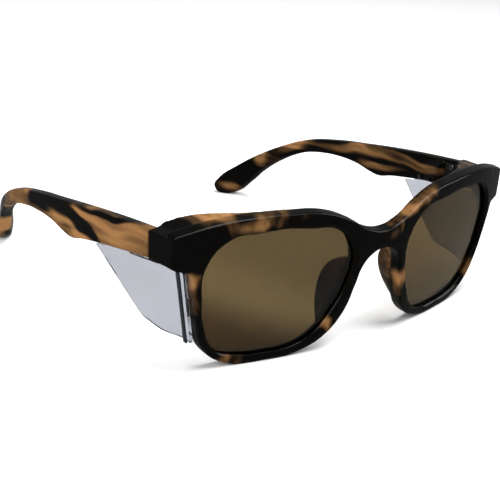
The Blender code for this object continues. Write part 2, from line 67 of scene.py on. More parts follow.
# Temples and hinges
HALF_WIDTH = 70.8 * MM
TEMPLE_THICKNESS = 4.3 * MM
TEMPLE_EDGE = 0.9 * MM
BOSS = 2.4 * MM                     # extra thickness inwards, just behind the hinge leaf
BOSS_FROM = 36.2 * MM
BOSS_TO = 44 * MM
BOSS_TOP = 9.3 * MM                 # it ends this far above the temple's lower edge
BOSS_FADE = 2 * MM
BUTT_Y = 26.8 * MM
HINGE_Z = 12.7 * MM
EDGE_Z = 8.4 * MM                   # lower edge of endpiece and temple at the butt joint
EDGE_SLOPE = 0.266
HINGE_TILT = math.radians(10)
PIVOT_X = HALF_WIDTH - TEMPLE_THICKNESS - 1.9 * MM
BARREL_RADIUS = 1.6 * MM
BARREL_BORE = 1.0 * MM
KNUCKLE = 2.1 * MM
LEAF_START = 0.7 * MM
LEAF_LENGTH = 8.6 * MM
LEAF_THICKNESS = 1.0 * MM
LEAF_PROUD = 0.4 * MM
FIXING_SPREAD = 2.2 * MM
FIXING_HEAD = 1.0 * MM
SWEEP_FROM = 50 * MM
SWEEP = 0.9                         # per metre
HOOK_FROM = 100 * MM
HOOK = 8.4                          # per metre

# Side shields
SHIELD_THICKNESS = 1.2 * MM
SHIELD_X = HALF_WIDTH - TEMPLE_THICKNESS / 2 + 0.15 * MM
SHIELD_LEAN = 0.19                  # inward lean per unit of drop
CURL_FROM = 24 * MM                 # ahead of this the shield curls in towards the rim
CURL_TO = 15.5 * MM                 # and from here forward it runs along the rim's side
SEAL_WIDTH = 1.4 * MM
SEAL_THICKNESS = 0.7 * MM
PIN_RADIUS = 0.7 * MM
PIN_PLACES = (39.5 * MM, 46.5 * MM)     # distance back from the front face

# Finish of the moulded surfaces
VOXEL = 0.32 * MM                   # grain of the mesh that the acetate pieces are cast in
POLISH = 7                          # smoothing passes over it

# Outlines, in millimetres. A third value "corner" marks a sharp point.
FRONT_HALF = [
    (0, 15.4), (8.5, 17.4), (14.5, 20.8), (24, 24.1), (34, 24.9), (48, 24.7), (60, 23.0),
    (70.8, 19.8, "corner"), (70.3, 9.7, "corner"), (65.5, 8.9, "corner"), (63.2, -1.5),
    (61.7, -8.9), (58.8, -16.6), (51.2, -22.2), (37, -23.5), (26.8, -22.0), (18.6, -18.2),
    (12.6, -10.6), (9.7, -1.0), (8.0, 4.8), (4.6, 8.2), (0, 9.4)]
LENS_OPENING = [
    (61.0, 0), (61.0, 9.9), (54.9, 17.8), (45.2, 19.6), (37.1, 20.2), (29, 19.5), (19.1, 18.0),
    (12.4, 10.2), (13.2, 0), (16.7, -8.4), (21.5, -15.6), (28.9, -19.6), (37.1, -20.2),
    (45.4, -20.1), (54.5, -17.4), (59.2, -9.2)]
CORNER_BLOCK = [                    # seen from above: x, y
    (70.8, 15.3, "corner"), (70.8, 29, "corner"), (66.5, 29, "corner"), (62.6, 25.6),
    (59.5, 24.2), (56.4, 22.5), (52, 19.2), (47.5, 15.9), (40.2, 12.5),
    (33, 9.3, "corner"), (33, 6.5, "corner"), (46, 9.2), (55, 11.6), (64, 14.4)]
BELOW_BROW = [(80, 17, "corner"), (80, 0, "corner"), (24, 0, "corner")]
TEMPLE = [                          # seen from the side: y, z
    (23, 18.0, "corner"), (41, 14.5), (61, 10.0), (76, 6.2), (91, 2.2), (105, -2.8),
    (114.5, -8.4), (122.8, -14.6), (130.6, -22.1), (136.4, -29.4), (137.4, -33.4),
    (134.7, -36.0), (130.8, -34.4), (126.5, -28.9), (121.9, -22.1), (115, -15.0),
    (106.5, -9.0), (97, -5.2), (87, -3.0), (77.5, -2.3), (71, -2.9), (66, -2.9), (60, -0.7),
    (48, 2.8), (23, 9.2, "corner")]
PAD = [                             # depth behind the front face, z
    (5.0, 7.0, "corner"), (8.6, 5.0), (11.7, 1.2), (12.2, -3.4), (10.4, -8.6), (7.6, -12.4),
    (5.0, -15.0, "corner")]

# Colours, linear
AMBER = (0.30, 0.147, 0.052)
TAN = (0.155, 0.077, 0.029)
BROWN = (0.055, 0.028, 0.010)
UMBER = (0.011, 0.006, 0.0025)
BLACK = (0.0015, 0.0013, 0.0011)
# Lens tint with a painted reflection: the lighter brown is a painted light reflection band across
# the lens, the darker brown a painted dark reflection in the lower corner
LENS_PAINTED_REFLECTION_LIGHT = (0.100, 0.072, 0.031)
LENS_PAINTED_REFLECTION_DARK = (0.032, 0.019, 0.007)
HINGE_BLACKENED = (0.05, 0.048, 0.045)
SCREW_STEEL = (0.16, 0.155, 0.15)
CORE_STEEL = (0.12, 0.118, 0.115)
SHIELD_DARK, SHIELD_LIGHT = (0.32, 0.33, 0.365), (0.37, 0.38, 0.415)
SAWN_DARK, SAWN_LIGHT = (0.16, 0.17, 0.19), (0.42, 0.43, 0.45)
SEAL_DARK, SEAL_LIGHT = (0.006, 0.007, 0.011), (0.016, 0.018, 0.024)
FLOOR_PALE = (0.9, 0.9, 0.9, 1)

# Tortoiseshell patches: x, y, z, half size along x, y and z, turn in degrees, darkness,
# all lengths in millimetres. The function tortoise() says how each is placed.
FRONT_PATCHES = [
    (1, 0, 0, 200, 100, 100, 0, 1.18),          # mostly near black
    (-42, 1, 23.4, 10, 4, 3.0, 2, 0.5),         # brown over the near brow
    (-50, 11, 20.5, 14, 8, 5, 0, 0.22),         # top of the near endpiece
    (-69, 4, 15, 9.5, 15, 8.5, 0, 1.3),         # near endpiece, front and side
    (-60, 1, 16, 5, 5, 6, 0, 1.27),
    (-21, 2, 21.5, 13, 6, 5.5, -22, 1.28),      # from the near brow down to the bridge
    (3, 1, 13.5, 4, 4, 2, 20, 0.55),
    (-65, 2, 0, 3.6, 5, 10, -4, 0.24),          # near rim, temple side
    (-50, 1, -21.7, 10, 5, 2, -14, 0.66),
    (-18.5, 1, -11.5, 2.2, 5, 8, 28, 0.4),      # near rim, lower nose side
    (16, 1, 21.7, 12, 5, 2.8, 24, 0.32),        # band over the far brow
    (42, 2, 24, 15, 7, 5, 0, 1.27),
    (52, 10, 20, 12, 7, 4, 0, 0.55),
    (60, 2, -15, 4, 6, 4, 0, 0.28),
    (10.5, 1, -4, 3, 5, 9, -20, 0.38),          # far rim, nose side
]
RIGHT_PATCHES = [
    (0, 44, 9, 1e4, 24, 7, -8, 0.16),           # large amber area
    (0, 61, 4.0, 1e4, 13, 2.3, 13, 1.22),       # black band across it
    (0, 74, 6, 1e4, 8, 3.2, 10, 1.24),
    (0, 69, -1.6, 1e4, 7, 1.8, -5, 0.62),
    (0, 45, 13.6, 1e4, 20, 0.9, -15, 0.95),     # dark line along the top
    (0, 87, 3, 1e4, 12, 3, -14, 1.28),
    (0, 82, -1.6, 1e4, 10, 1.4, -5, 0.35),
    (0, 98, -2.5, 1e4, 5, 4, -20, 0.25),
    (0, 111, -6, 1e4, 6, 6, -35, 0.25),         # bend behind the ear
    (0, 120, -16, 1e4, 6, 5, -50, 1.18),
    (0, 133, -31, 1e4, 5, 3, -50, 0.6),
]
LEFT_PATCHES = [
    (0, 70, 3, 1e4, 80, 40, 0, 1.16),           # mostly near black
    (0, 46, 9, 1e4, 12, 2.4, -12, 0.55),
    (0, 76, 3.2, 1e4, 22, 2.2, -15, 0.36),
    (0, 66, 0.6, 1e4, 9, 1.2, -15, 0.5),
    (0, 110, -6.3, 1e4, 9, 3.0, -28, 0.25),
    (0, 121.5, -15, 1e4, 3.4, 3.8, -45, 0.35),
    (0, 131.5, -31, 1e4, 2.4, 1.8, -45, 0.45),
]
PAD_PATCHES = [(11, 6, 2, 6, 9, 6, 0, 0.35), (11, 6, -9, 5, 9, 5, 0, 0.5)]

LENS_IOR = 1.45
SHIELD_IOR = 1.15                   # low, so that the thin sheet bends little of what is behind it


# ---------------------------------------------------------------- stance and camera

def stance_matrix():
    """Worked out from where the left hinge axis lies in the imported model."""
    joint = next(j for j in frame["joints"] if j["name"] == "temple_fold_left")
    lean = HINGE_TILT - math.atan2(joint["axis"][1], joint["axis"][2])
    turn = Matrix.Rotation(lean, 4, "X")
    pivot = turn @ Vector((PIVOT_X, BUTT_Y, HINGE_Z))
    return Matrix.Translation(Vector(joint["pos_m"]) - pivot) @ turn


STANCE = stance_matrix()

CAMERA_PLACE = Vector((-0.2612, -0.2149, 0.1602))     # in the drawing, metres
CAMERA_AZIMUTH = math.radians(-43.61)
CAMERA_ELEVATION = math.radians(25.22)
CAMERA_ROLL = math.radians(8.85)
CAMERA_LENS = 86.64                                    # mm on a 36 mm sensor


def add_camera():
    back = Vector((math.sin(CAMERA_AZIMUTH) * math.cos(CAMERA_ELEVATION),
                   -math.cos(CAMERA_AZIMUTH) * math.cos(CAMERA_ELEVATION),
                   math.sin(CAMERA_ELEVATION)))
    right = Vector((0, 0, 1)).cross(back).normalized()
    up = back.cross(right)
    cos, sin = math.cos(CAMERA_ROLL), math.sin(CAMERA_ROLL)
    axes = Matrix((cos * right + sin * up, cos * up - sin * right, back)).transposed()
    lens = bpy.data.cameras.new("camera")
    lens.lens = CAMERA_LENS
    lens.sensor_width = 36
    lens.clip_start = 0.01
    camera = bpy.data.objects.new("camera", lens)
    bpy.context.scene.collection.objects.link(camera)
    camera.matrix_world = STANCE @ Matrix.Translation(CAMERA_PLACE) @ axes.to_4x4()
    bpy.context.scene.camera = camera


# ---------------------------------------------------------------- mesh helpers

def outline(points):
    """Curve points in metres, each with a flag that says whether it is a corner."""
    return [((p[0] * MM, p[1] * MM), len(p) == 3) for p in points]


def steps(start, stop, step):
    count = int(round((stop - start) / step))
    return [start + step * index for index in range(1, count)]


def drawn_curve(loops, facets):
    curve = bpy.data.curves.new("outline", "CURVE")
    curve.dimensions = "2D"
    curve.resolution_u = facets
    for loop in loops:
        spline = curve.splines.new("BEZIER")
        spline.bezier_points.add(len(loop) - 1)
        spline.use_cyclic_u = True
        for knot, (place, is_corner) in zip(spline.bezier_points, loop):
            knot.co = (*place, 0)
            kind = "VECTOR" if is_corner else "AUTO"
            knot.handle_left_type = kind
            knot.handle_right_type = kind
    return curve


def curve_mesh(curve):
    """The curve's mesh as a bmesh; the curve itself is removed."""
    drawn = bpy.data.objects.new("outline", curve)
    bpy.context.scene.collection.objects.link(drawn)
    shape = drawn.evaluated_get(bpy.context.evaluated_depsgraph_get())
    mesh = bpy.data.meshes.new_from_object(shape)
    bpy.data.objects.remove(drawn, do_unlink=True)
    bpy.data.curves.remove(curve)
    solid = bmesh.new()
    solid.from_mesh(mesh)
    bpy.data.meshes.remove(mesh)
    return solid


def plate(loops, thickness, edge=0.0, grow=0.0, facets=8, rounds=2):
    """A flat plate in the XY plane from closed outlines; the second and later are holes."""
    curve = drawn_curve(loops, facets)
    curve.fill_mode = "BOTH"
    curve.extrude = thickness / 2 - edge
    curve.bevel_depth = edge
    curve.bevel_resolution = rounds
    curve.offset = grow - edge
    solid = curve_mesh(curve)
    bmesh.ops.remove_doubles(solid, verts=solid.verts, dist=0.001 * MM)
    return solid


def loop_points(loop, facets, grow=0.0):
    """Points along one closed outline, moved outwards by grow."""
    solid = curve_mesh(drawn_curve([loop], facets))
    solid.verts.ensure_lookup_table()
    points = [Vector(vert.co[:2]) for vert in solid.verts]
    solid.free()
    moved_out = []
    for index, point in enumerate(points):
        along = points[(index + 1) % len(points)] - points[index - 1]
        moved_out.append(point + grow * Vector((along.y, -along.x)).normalized())
    turn = sum(a.cross(b) for a, b in zip(points, points[1:]))
    return moved_out if turn > 0 else loop_points(loop[::-1], facets, grow)


def crease(solid, point, normal):
    """Add a cross cut without removing anything, so that the solid can bend along it."""
    bmesh.ops.bisect_plane(
        solid, geom=solid.verts[:] + solid.edges[:] + solid.faces[:], dist=1e-7,
        plane_co=point, plane_no=normal)


def slices(solid, axis, places):
    """Add cross cuts square to one axis."""
    normal = Vector((0, 0, 0))
    normal[axis] = 1
    for place in places:
        crease(solid, normal * place, normal)


def trim(solid, point, normal):
    """Cut away everything on the normal's side of a plane and close the cut."""
    cut = bmesh.ops.bisect_plane(
        solid, geom=solid.verts[:] + solid.edges[:] + solid.faces[:], dist=1e-7,
        plane_co=point, plane_no=normal, clear_outer=True)
    edges = [item for item in cut["geom_cut"] if isinstance(item, bmesh.types.BMEdge)]
    bmesh.ops.holes_fill(solid, edges=edges, sides=0)


def bend(solid, place):
    """Move each point (u, v, w) of a flat plate to its real position."""
    for vert in solid.verts:
        vert.co = place(*vert.co)
    return solid


def box(low, high):
    solid = bmesh.new()
    bmesh.ops.create_cube(solid, size=1)
    for vert in solid.verts:
        for axis in range(3):
            vert.co[axis] = high[axis] if vert.co[axis] > 0 else low[axis]
    return solid


def cylinder(radius, low, high, sides=40):
    solid = bmesh.new()
    bmesh.ops.create_cone(solid, cap_ends=True, segments=sides, radius1=radius, radius2=radius,
                          depth=high - low, matrix=Matrix.Translation((0, 0, (low + high) / 2)))
    return solid


def moved(solid, matrix):
    bmesh.ops.transform(solid, matrix=matrix, verts=solid.verts)
    return solid


def soften(solid, width, segments=3):
    """Round every sharp edge."""
    sharp = [e for e in solid.edges if e.is_manifold and e.calc_face_angle() > math.radians(35)]
    bmesh.ops.bevel(solid, geom=sharp, offset=width, segments=segments, affect="EDGES",
                    profile=0.5, clamp_overlap=True)
    return solid


def as_object(name, solid):
    bmesh.ops.recalc_face_normals(solid, faces=solid.faces)
    if solid.calc_volume(signed=True) < 0:
        bmesh.ops.reverse_faces(solid, faces=solid.faces)
    bmesh.ops.triangulate(solid, faces=[f for f in solid.faces if len(f.verts) > 4])
    mesh = bpy.data.meshes.new(name)
    solid.to_mesh(mesh)
    solid.free()
    made = bpy.data.objects.new(name, mesh)
    bpy.context.scene.collection.objects.link(made)
    return made


def settle(made):
    """Apply every modifier to the object's mesh."""
    bpy.context.view_layer.update()
    shape = made.evaluated_get(bpy.context.evaluated_depsgraph_get())
    mesh = bpy.data.meshes.new_from_object(shape)
    old = made.data
    made.modifiers.clear()
    made.data = mesh
    mesh.name = made.name
    bpy.data.meshes.remove(old)
    return made


def combine(made, solids, operation):
    """Add or take away several solids, then apply the result."""
    tools = [as_object(f"{made.name}_tool_{index}", solid) for index, solid in enumerate(solids)]
    for tool in tools:
        change = made.modifiers.new(tool.name, "BOOLEAN")
        change.operation = operation
        change.solver = "EXACT"
        change.object = tool
    settle(made)
    for tool in tools:
        bpy.data.objects.remove(tool, do_unlink=True)
    return made


def polish(made, voxel=VOXEL, rounds=POLISH):
    """Cast the shape in an even mesh and smooth it, as tumbling does to acetate."""
    cast = made.modifiers.new("cast", "REMESH")
    cast.mode = "VOXEL"
    cast.voxel_size = voxel
    smooth = made.modifiers.new("smooth", "SMOOTH")
    smooth.factor = 0.5
    smooth.iterations = rounds
    return settle(made)


def show(made, body, slot, look, *nodes, smooth=None):
    made.data.transform(STANCE)
    made.data.materials.clear()
    for material in look if isinstance(look, (list, tuple)) else [look]:
        made.data.materials.append(material)
    made.data.shade_smooth()
    if smooth is not None:
        made.data.set_sharp_from_angle(angle=math.radians(smooth))
    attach(made, body)
    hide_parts(*(nodes or (made.name,)))
    return made


# ---------------------------------------------------------------- shape rules

def face_depth(x, z):
    return FACE_CURVE_X * x * x + FACE_CURVE_Z * z * z


def on_face(x, z, depth):
    return Vector((x, face_depth(x, z) + depth, z))


def temple_x(y):
    """Middle of the temple's thickness, seen from above."""
    hook = max(0.0, y - HOOK_FROM)
    sweep = max(0.0, y - SWEEP_FROM)
    return HALF_WIDTH - TEMPLE_THICKNESS / 2 - SWEEP * sweep ** 2 - HOOK * hook ** 2


def temple_point(side, y, z, w):
    step = 0.5 * MM
    slope = (temple_x(y + step) - temple_x(y - step)) / (2 * step)
    return Vector((side * (temple_x(y) + w * math.hypot(1, slope)), y, z))


def boss_point(side, y, z, w):
    """The same, with the boss behind the hinge leaf on the inner side."""
    rise = min(1.0, max(0.0, (y - BOSS_FROM) / MM))
    fall = min(1.0, max(0.0, (BOSS_TO - y) / (BOSS_TO - BOSS_FROM - MM)))
    inwards = max(0.0, -w) / (TEMPLE_THICKNESS / 2)
    below_top = min(1.0, max(0.0, (lower_edge(y) + BOSS_TOP - z) / BOSS_FADE))
    return temple_point(side, y, z, w - BOSS * rise * fall * inwards * below_top)


def lower_edge(y):
    return EDGE_Z - EDGE_SLOPE * (y - BUTT_Y)


def rim_side(z):
    return 63.8 * MM + 0.22 * z


def nasal_edge(z):
    return 9.55 * MM - 0.17 * z + 20 * z * z


def shield_x(y, z):
    panel = SHIELD_X - SHIELD_LEAN * max(0.0, lower_edge(y) - z)
    lip = rim_side(z) + GAP + SHIELD_THICKNESS / 2
    part = min(1.0, max(0.0, (CURL_FROM - y) / (CURL_FROM - CURL_TO)))
    return panel + (lip - panel) * part * part * (3 - 2 * part)


def hinge_normal():
    return Vector((0, math.cos(HINGE_TILT), -math.sin(HINGE_TILT)))


def hinge_place(side):
    """Hinge frame: origin on the axis, Z along it, Y towards the temple."""
    turn = Matrix.Rotation(-HINGE_TILT, 4, "X")
    return Matrix.Translation((side * PIVOT_X, BUTT_Y, HINGE_Z)) @ turn


def in_hinge(side, solid):
    """Place a solid drawn around the left hinge; the right one is its mirror image."""
    return moved(solid, hinge_place(side) @ Matrix.Scale(side, 4, (1, 0, 0)))


def put_in_hinge(side, made):
    """The same for a finished object."""
    made.data.transform(Matrix.Scale(side, 4, (1, 0, 0)))
    made.data.transform(hinge_place(side))
    if side < 0:
        made.data.flip_normals()


def rest_flat(solid):
    """Slice the thin flat facet on which the piece stands."""
    up = STANCE.to_3x3().inverted() @ Vector((0, 0, 1))
    table = STANCE.inverted() @ Vector((0, 0, 0))
    trim(solid, table, -up)


# ---------------------------------------------------------------- acetate pieces

def lens_plate(side, extra):
    """The lens as a plain solid, a little larger: the groove that holds it."""
    solid = plate([outline(LENS_OPENING)], LENS_THICKNESS + 2 * extra,
                  grow=LENS_OVERLAP + extra, rounds=0)
    slices(solid, 0, steps(8 * MM, 68 * MM, 3 * MM))
    slices(solid, 1, steps(-24 * MM, 24 * MM, 6 * MM))
    middle = LENS_SET_BACK + LENS_THICKNESS / 2
    return bend(solid, lambda x, z, w: on_face(side * x, z, middle + w))


def brow_point(side, x, y, z):
    """The brow's outline carried back over the endpiece, falling faster over the hinge."""
    over_hinge = min(1.0, max(0.0, (x - 62.5 * MM) / (4 * MM)))
    outside = min(1.0, max(0.0, (x - 66.5 * MM) / (4.3 * MM)))
    drop = BROW_DROP + 0.10 * over_hinge - 0.02 * outside
    behind = max(0.0, y - face_depth(x, z) - 3 * MM)
    return Vector((side * x, y, z - drop * behind - 0.1 * MM))


def endpiece_block(side):
    """The part of the endpiece that wraps back from the brow to the temple."""
    solid = plate([outline(CORNER_BLOCK)], 24 * MM, rounds=0)
    bend(solid, lambda x, y, w: Vector((side * x, y, 16 * MM + w)))
    trim(solid, Vector((0, BUTT_Y, lower_edge(BUTT_Y))), Vector((0, -0.15, -1)))
    trim(solid, Vector((0, BUTT_Y - GAP / 2, HINGE_Z)), hinge_normal())
    block = as_object("block", solid)
    brow = plate([outline(FRONT_HALF[3:8] + BELOW_BROW)], 28 * MM, rounds=0)
    slices(brow, 0, steps(32.5 * MM, 72.5 * MM, 1 * MM))
    bend(brow, lambda x, z, w: brow_point(side, x, 19 * MM + w, z))
    window = plate([outline(LENS_OPENING)], 60 * MM, rounds=0)
    bend(window, lambda x, z, w: Vector((side * x, 30 * MM + w, z)))
    shelf = box((-30 * MM, -7.6 * MM, -12 * MM),
                (HALF_WIDTH - TEMPLE_THICKNESS - PIVOT_X, 6 * MM, 4.7 * MM))
    shelf = in_hinge(side, shelf)
    for solid in (brow, window, shelf):
        bmesh.ops.triangulate(solid, faces=solid.faces)
    combine(block, [brow], "INTERSECT")
    combine(block, [window, shelf], "DIFFERENCE")
    shape = bmesh.new()
    shape.from_mesh(block.data)
    bpy.data.objects.remove(block, do_unlink=True)
    return shape


def bevel_cutter(side):
    """A shallow cone-like solid that bevels the front edge of one lens opening."""
    solid = bmesh.new()
    levels = []
    for depth, grow in ((-0.6 * MM, 1.3 * RIM_BEVEL), (1.3 * MM, -0.1 * MM)):
        points = loop_points(outline(LENS_OPENING), 8, grow)
        levels.append([solid.verts.new(on_face(side * p.x, p.y, depth)) for p in points])
    for level in levels:
        solid.faces.new(level)
    for index in range(len(levels[0])):
        after = (index + 1) % len(levels[0])
        solid.faces.new((levels[0][index], levels[0][after], levels[1][after], levels[1][index]))
    bmesh.ops.triangulate(solid, faces=[f for f in solid.faces if len(f.verts) > 4])
    return solid


def leaf_box(towards, extra=0.0):
    """The flat leaf, or with extra its recess, which runs out through the butt joint."""
    inner = HALF_WIDTH - TEMPLE_THICKNESS - PIVOT_X - LEAF_PROUD
    half = 1.5 * KNUCKLE + GAP
    near, far = (-MM if extra else LEAF_START) * towards, (LEAF_LENGTH + extra) * towards
    return box((inner - extra, min(near, far), -half - extra),
               (inner + LEAF_THICKNESS + extra, max(near, far), half + extra))


def build_front():
    half = outline(FRONT_HALF)
    other = [((-place[0], place[1]), corner) for place, corner in reversed(half[1:-1])]
    lens = outline(LENS_OPENING)
    lens_other = [((-place[0], place[1]), corner) for place, corner in lens]
    solid = plate([half + other, lens, lens_other], RIM_DEPTH, edge=RIM_EDGE, rounds=1)
    slices(solid, 0, steps(-72 * MM, 72 * MM, 3 * MM))
    slices(solid, 1, steps(-24 * MM, 28 * MM, 4 * MM))
    bend(solid, lambda x, z, w: on_face(x, z, RIM_DEPTH / 2 - w))
    rest_flat(solid)
    front = as_object("acetate_front", solid)
    combine(front, [endpiece_block(side) for side, _ in SIDES], "UNION")
    combine(front, [bevel_cutter(side) for side, _ in SIDES], "DIFFERENCE")
    combine(front, [lens_plate(side, GAP) for side, _ in SIDES], "DIFFERENCE")
    combine(front, [in_hinge(side, leaf_box(-1, GAP)) for side, _ in SIDES], "DIFFERENCE")
    polish(front)
    return show(front, "front", "tortoise_acetate", tortoise_front(), "front_frame")


def build_pad(side, label):
    """Nose pad bonded behind the nasal side of the rim."""
    solid = plate([outline(PAD)], 2.6 * MM, edge=0.9 * MM, rounds=3)
    slices(solid, 1, steps(-15 * MM, 7 * MM, 1 * MM))

    def place(depth, z, w):
        x = nasal_edge(z) + 1.4 * MM + 0.25 * (depth - RIM_DEPTH) + w
        return on_face(side * x, z, depth)

    pad = as_object(f"acetate_nose_pad_{label}", bend(solid, place))
    polish(pad, 0.25 * MM, 5)
    return show(pad, "front", "tortoise_acetate", tortoise_pads(), f"nose_pad_{label}")


def pin_hole(side, y, reach):
    """Hole for a shield pin, open towards the temple's inner side."""
    inner = HALF_WIDTH - TEMPLE_THICKNESS
    solid = cylinder(PIN_RADIUS + GAP, inner - reach, SHIELD_X, 24)
    turn = Matrix.Rotation(math.radians(90) * side, 4, "Y")
    place = Matrix.Translation((0, y, lower_edge(y) + 1.3 * MM))
    return moved(solid, place @ turn)


def tongue_points(extra=0.0):
    """The strip of the shield that sits in the temple's slot: y, z in metres."""
    front, back, rise = 36.6 * MM - extra, 49.6 * MM + extra, 2.5 * MM + extra
    return [(front, lower_edge(front) + rise), (back, lower_edge(back) + rise)]


def as_corners(points):
    return [(place, True) for place in points]


def shield_slot(side):
    (y0, z0), (y1, z1) = tongue_points(GAP)
    points = [(y0, z0), (y1, z1), (y1, z1 - 8 * MM), (y0, z0 - 8 * MM)]
    solid = plate([as_corners(points)], SHIELD_THICKNESS + 2 * GAP, rounds=0)
    return bend(solid, lambda y, z, w: Vector((side * (SHIELD_X + w), y, z)))


def build_temple(side, label):
    solid = plate([outline(TEMPLE)], TEMPLE_THICKNESS, edge=TEMPLE_EDGE, rounds=2)
    slices(solid, 0, [BOSS_FROM, BOSS_FROM + MM, BOSS_TO])
    slices(solid, 0, steps(24 * MM, 140 * MM, 2 * MM))
    for height in (BOSS_TOP - BOSS_FADE, BOSS_TOP - BOSS_FADE / 2, BOSS_TOP):
        crease(solid, Vector((BUTT_Y, EDGE_Z + height, 0)), Vector((EDGE_SLOPE, 1, 0)))
    bend(solid, lambda y, z, w: boss_point(side, y, z, w))
    rest_flat(solid)
    trim(solid, Vector((0, BUTT_Y + GAP / 2, HINGE_Z)), -hinge_normal())
    temple = as_object(f"acetate_temple_{label}", solid)
    polish(temple)
    cuts = [in_hinge(side, leaf_box(1, GAP)), shield_slot(side)]
    cuts += [pin_hole(side, place, BOSS + GAP) for place in PIN_PLACES]
    combine(temple, cuts, "DIFFERENCE")
    return show(temple, f"temple_arm_{label}", "tortoise_acetate", tortoise_temple(side),
                f"temple_{label}", smooth=35)


# ---------------------------------------------------------------- lenses and shields

def build_lens(side, label):
    """Rings of points from the middle outwards, so that the curve is even all over."""
    rim = loop_points(outline(LENS_OPENING), 8, LENS_OVERLAP)
    middle = Vector(LENS_MIDDLE)
    rings = 18
    edge = 0.25 * MM
    solid = bmesh.new()
    levels = []
    for depth, shares in ((LENS_SET_BACK, range(1, rings + 1)),
                          (LENS_SET_BACK + LENS_THICKNESS, range(rings, 0, -1))):
        for ring in shares:
            share = ring / rings
            inset = edge if ring == rings else 0.0
            flat = [middle + (point - middle) * share for point in rim]
            flat = [point - (point - middle).normalized() * inset for point in flat]
            levels.append([solid.verts.new(on_face(side * p.x, p.y, depth)) for p in flat])
        if depth == LENS_SET_BACK:
            for inner in (edge, LENS_THICKNESS - edge):
                levels.append([solid.verts.new(on_face(side * p.x, p.y, depth + inner))
                               for p in rim])
    for first, second in zip(levels, levels[1:]):
        for index in range(len(rim)):
            after = (index + 1) % len(rim)
            solid.faces.new((first[index], first[after], second[after], second[index]))
    for level, depth in ((levels[0], LENS_SET_BACK), (levels[-1], LENS_SET_BACK + LENS_THICKNESS)):
        pole = solid.verts.new(on_face(side * middle.x, middle.y, depth))
        for index in range(len(rim)):
            solid.faces.new((level[index], level[(index + 1) % len(rim)], pole))
    lens = as_object(f"tinted_lens_{label}", solid)
    return show(lens, "front", "tinted_lens", lens_tint_with_painted_reflection(), f"lens_{label}", smooth=50)


def shield_outline():
    lip_top, lip_foot = (14.2 * MM, 8.4 * MM), (13.1 * MM, -14.7 * MM)
    (y0, z0), (y1, z1) = tongue_points()
    below = 0.7 * MM
    upper = [lip_top, (18 * MM, 9.1 * MM), (y0, lower_edge(y0) - below), (y0, z0), (y1, z1),
             (y1, lower_edge(y1) - below), (54.0 * MM, lower_edge(54.0 * MM) - below)]
    lower = [((34.2 * MM, -13.5 * MM), False), ((32.2 * MM, -14.5 * MM), False),
             ((29.4 * MM, -14.8 * MM), False)]
    return as_corners(upper) + lower + as_corners([lip_foot])


def build_shield(side, label):
    solid = plate([shield_outline()], SHIELD_THICKNESS, edge=0.15 * MM, rounds=1, facets=12)
    slices(solid, 0, steps(12 * MM, 26 * MM, 0.5 * MM))
    slices(solid, 1, steps(-16 * MM, 12 * MM, 2 * MM))
    crease(solid, Vector((BUTT_Y, lower_edge(BUTT_Y), 0)), Vector((EDGE_SLOPE, 1, 0)))
    walls = {vert for vert in solid.verts if abs(vert.co.z) < SHIELD_THICKNESS / 2 - 0.01 * MM}
    for face in solid.faces:
        face.material_index = int(any(vert in walls for vert in face.verts))
    bend(solid, lambda y, z, w: Vector((side * (shield_x(y, z) + w), y, z)))
    shield = as_object(f"clear_shield_{label}", solid)
    return show(shield, f"temple_arm_{label}", "clear_shield", [shield_clear(), shield_edge()],
                f"side_shield_{label}", smooth=30)


def build_seal(side, label):
    """Dark strip along the outside of the shield's front edge."""
    top, foot = (15.7 * MM, 8.5 * MM), (14.4 * MM, -14.9 * MM)
    half = SEAL_WIDTH / 2
    points = [((top[0] - half, top[1]), True), ((top[0] + half, top[1]), True),
              ((foot[0] + half, foot[1]), True), ((foot[0] - half, foot[1]), True)]
    solid = plate([points], SEAL_THICKNESS, edge=0.2 * MM, rounds=3)
    slices(solid, 1, steps(-16 * MM, 12 * MM, 2 * MM))
    out = SHIELD_THICKNESS / 2 + GAP + SEAL_THICKNESS / 2
    bend(solid, lambda y, z, w: Vector((side * (shield_x(y, z) + w + out), y, z)))
    seal = as_object(f"dark_seal_{label}", solid)
    return show(seal, f"temple_arm_{label}", "seal_rubber", seal_dark(),
                f"shield_seal_{label}", smooth=50)


# ---------------------------------------------------------------- metal

def fixing_places(towards):
    reach = LEAF_LENGTH * 0.58 * towards
    return [(reach, FIXING_SPREAD * sign) for sign in (-1, 1)]


def sideways(y, z):
    """Turn a cylinder drawn along Z so that it runs outwards through (y, z)."""
    return Matrix.Translation((0, y, z)) @ Matrix.Rotation(math.radians(90), 4, "Y")


def build_leaf(side, name, towards, knuckle_places, body):
    inner = HALF_WIDTH - TEMPLE_THICKNESS - PIVOT_X - LEAF_PROUD
    leaf = as_object(f"metal_{name}", soften(leaf_box(towards), 0.2 * MM))
    barrels, webs = [], []
    for middle in knuckle_places:
        low, high = middle - KNUCKLE / 2, middle + KNUCKLE / 2
        barrels.append(soften(cylinder(BARREL_RADIUS, low, high), 0.18 * MM))
        near, far = 0.2 * MM * towards, 2.6 * MM * towards
        webs.append(box((BARREL_BORE * 0.9, min(near, far), low + 0.15 * MM),
                        (inner + LEAF_THICKNESS / 2, max(near, far), high - 0.15 * MM)))
    combine(leaf, barrels + webs, "UNION")
    holes = [cylinder(BARREL_BORE, -6 * MM, 6 * MM)]
    holes += [moved(cylinder(0.8 * MM, inner - MM, inner + 3 * MM), sideways(y, z))
              for y, z in fixing_places(towards)]
    combine(leaf, holes, "DIFFERENCE")
    put_in_hinge(side, leaf)
    return show(leaf, body, "hinge_metal", metal("hinge_blackened", HINGE_BLACKENED, 0.32),
                name, smooth=35)


